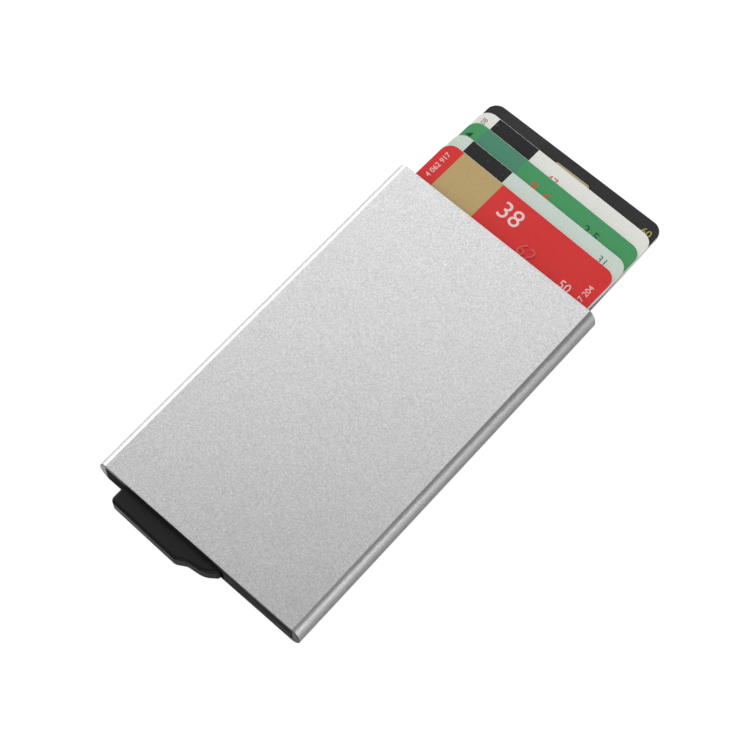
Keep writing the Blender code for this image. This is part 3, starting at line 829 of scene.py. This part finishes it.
# name, ink, height of the print, and its digits: text, left, drop, height, turn
INKS = {
    "red": (
        (
            "white_digits",
            display(240, 214, 210),
            FOIL,
            (
                ("4 062 917", -23.9, 11.0, 1.4, 90),
                ("38", -6.0, 7.3, 4.7, 0),
                ("50", 17.6, 11.7, 2.3, 0),
                ("7 204", 24.9, 11.0, 1.5, 90),
            ),
        ),
        # painted highlight: the raised digits are a paler red than the card
        ("raised_digits_painted_highlight", display(224, 84, 84), EMBOSSING, (("62", 4.2, 11.9, 3.5, 0),)),
    ),
    "mint": (("grey_digits", display(92, 112, 104), FOIL, (("31", 19.9, 4.4, 2.0, 0),)),),
    "green": (
        (
            "red_digits",
            display(214, 84, 58),
            FOIL,
            (("8", -5.2, 6.2, 2.9, 0), ("6", -1.0, 6.2, 2.9, 0)),
        ),
        (
            "dark_digits",
            display(16, 66, 44),
            FOIL,
            (("2", 12.0, 5.9, 2.4, 0), ("5", 14.9, 5.9, 2.4, 0)),
        ),
    ),
    "white": (
        ("grey_digits", display(120, 120, 122), FOIL, (("08", -24.3, 4.2, 1.3, 90),)),
        ("red_digits", display(214, 84, 58), FOIL, (("47", -3.6, 5.5, 2.2, 0),)),
    ),
    "black": (("yellow_digits", display(196, 178, 66), FOIL, (("60", 22.6, 4.6, 2.0, 0),)),),
}
# name, ink, and corners: x, drop, radius
PATCHES = {
    "green": (
        ("arrow", display(14, 58, 40), ((-26.1, 5.0, 0.0), (-24.5, 5.0, 0.0), (-24.6, 3.4, 0.0))),
    ),
    "black": (
        (
            "panel",
            display(190, 174, 132),
            ((-4.7, 9.0, 0.8), (6.0, 9.0, 0.8), (6.0, 3.0, 0.8), (-4.7, 3.0, 0.8)),
        ),
    ),
}
# name, turn in degrees, colour, colour of the stripe, and the stripe's inset in mm
CARDS = (
    ("red", -1.2, display(222, 45, 45), display(194, 168, 113), 5.0),
    ("mint", -1.1, display(214, 227, 217), display(20, 20, 22), 4.2),
    ("green", -1.2, display(68, 157, 97), display(74, 140, 113), 4.3),
    ("white", -0.8, display(240, 241, 234), display(16, 16, 18), 4.6),
    ("black", 0.2, display(35, 35, 37), display(40, 40, 42), 4.4),
)
card_core = card_print("card_core", display(238, 238, 234), 0.5)
blank = card_tree()
for name, turn, colour, stripe_colour, stripe_inset in CARDS:
    low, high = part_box("card_" + name)
    place = Matrix.Translation((low + high) / 2) @ Matrix.Rotation(radians(turn), 4, "Z")
    card = grow(name + "_card", blank, CARD_SIZES, card_print(name + "_print", colour))
    settle(soften(card, CARD_EDGE, segments=2, angle=radians(40)), place)
    refinish(card, card_core, is_core)
    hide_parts("card_" + name)
    tape = coated_tape(name + "_tape", stripe_colour)
    on_face = [film(name + "_stripe", stripe_outline(stripe_inset), tape)]
    for label, ink, rise, marks in INKS[name]:
        meshes = [digits(*mark, rise) for mark in marks]
        finish = card_print(name + "_" + label, ink)
        on_face.append(printed(name + "_" + label, meshes, finish))
    for label, ink, corners in PATCHES.get(name, ()):
        finish = card_print(name + "_" + label, ink)
        on_face.append(film(name + "_" + label, on_card(corners), finish))
    for piece in on_face:
        piece.data.transform(place)
    for piece in (card, *on_face):
        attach(piece, "card_" + name)


# Floor and light: a pale sheet under large softboxes in a room with one pale wall, with the
# camera where the photograph was taken from. The sheet glows faintly to both sides of the holder
# in what its metal mirrors.
FLOOR_DROP = 0.00005
CAMERA_GLOW = 0.93


def studio_floor():
    """White sheet that shows as the background but still takes the object's shadow."""
    white, mirrored, under_glow = (0.82,) * 3, (0.6,) * 3, (0.2,) * 3
    finish, tree, shader = new_finish("studio_floor", white, 0.9)
    path = put(tree, "ShaderNodeLightPath").outputs
    reflected = mixed(tree, path["Is Glossy Ray"], white, mirrored)
    tint(tree, shader, path["Is Camera Ray"], reflected, under_glow)
    x, y, _ = put(tree, "ShaderNodeSeparateXYZ", {0: object_place(tree)}).outputs
    left_pool = spread(tree, x, -0.08, 0.0, 0.7, 0.03)
    right_pool = spread(tree, x, 0.036, 0.06, 0.0, 0.4)
    beside = spread(tree, y, -0.075, -0.053)
    pool = sums(tree, "MULTIPLY", sums(tree, "ADD", left_pool, right_pool), beside)
    seen = sums(
        tree,
        "ADD",
        sums(tree, "MULTIPLY", path["Is Camera Ray"], CAMERA_GLOW),
        sums(tree, "MULTIPLY", path["Is Glossy Ray"], pool),
    )
    glow = put(tree, "ShaderNodeEmission", {"Color": (1, 1, 1, 1), "Strength": seen})
    both = put(tree, "ShaderNodeAddShader", {0: shader.outputs[0], 1: glow.outputs[0]})
    tree.links.new(both.outputs[0], tree.nodes["Material Output"].inputs["Surface"])
    return finish


bm = bmesh.new()
bmesh.ops.create_grid(bm, x_segments=1, y_segments=1, size=3.0)
floor = from_bmesh("floor", bm)
floor.location = (0, 0, -FLOOR_DROP)
floor.data.materials.append(studio_floor())


def softbox(name, place, aim, width, height, power):
    """Rectangular lamp at a place, turned to what it lights."""
    light = bpy.data.lights.new(name, "AREA")
    light.shape = "RECTANGLE"
    light.size = width
    light.size_y = height
    light.energy = power
    lamp = add_object(name, light)
    lamp.location = place
    lamp.rotation_euler = (Vector(aim) - Vector(place)).to_track_quat("-Z", "Y").to_euler()


softbox("overhead_softbox", (-0.66, 0.92, 0.96), (0.0, 0.03, 0.0), 2.4, 1.8, 18.3)
softbox("left_panel", (-0.9, -0.3, 0.33), (0.0, -0.4, 0.07), 1.4, 0.62, 3.4)
softbox("left_strip", (-0.8, 0.12, 0.12), (0.0, 0.12, 0.1), 0.8, 0.24, 1.45)
softbox("wall_panel", (0.85, -0.85, 0.65), (0.0, 0.0, 0.0), 1.4, 1.1, 4.2)
softbox("right_strip", (1.3, 0.08, 0.08), (0.0, 0.0, 0.05), 0.5, 0.12, 1.0)

ROOM_GLOW, WALL_GLOW = 0.24, 0.62
WALL_SIDE = (0.7, -0.7, 0.0)
WALL_START, WALL_FULL = 0.5, 0.85
world = bpy.data.worlds.new("studio")
bpy.context.scene.world = world
world.use_nodes = True
sky = world.node_tree
path = put(sky, "ShaderNodeLightPath").outputs
direction = put(sky, "ShaderNodeTexCoord").outputs["Generated"]
toward = put(
    sky, "ShaderNodeVectorMath", {0: direction, 1: WALL_SIDE}, operation="DOT_PRODUCT"
).outputs["Value"]
room = spread(sky, toward, WALL_START, WALL_FULL, ROOM_GLOW, WALL_GLOW)
seen = spread(sky, path["Is Camera Ray"], 0.0, 1.0, room, 1.0)
background = sky.nodes["Background"]
background.inputs["Color"].default_value = (1, 1, 1, 1)
sky.links.new(seen, background.inputs["Strength"])

camera_data = bpy.data.cameras.new("camera")
camera_data.lens = 97.485
camera_data.sensor_width = 36
camera_data.clip_start = 0.01
camera = add_object("camera", camera_data)
camera.location = (0.116786, -0.132761, 0.443767)
camera.rotation_euler = (radians(22.4522), radians(-0.8205), radians(41.6152))
bpy.context.scene.camera = camera

bpy.context.scene.view_settings.view_transform = "Standard"
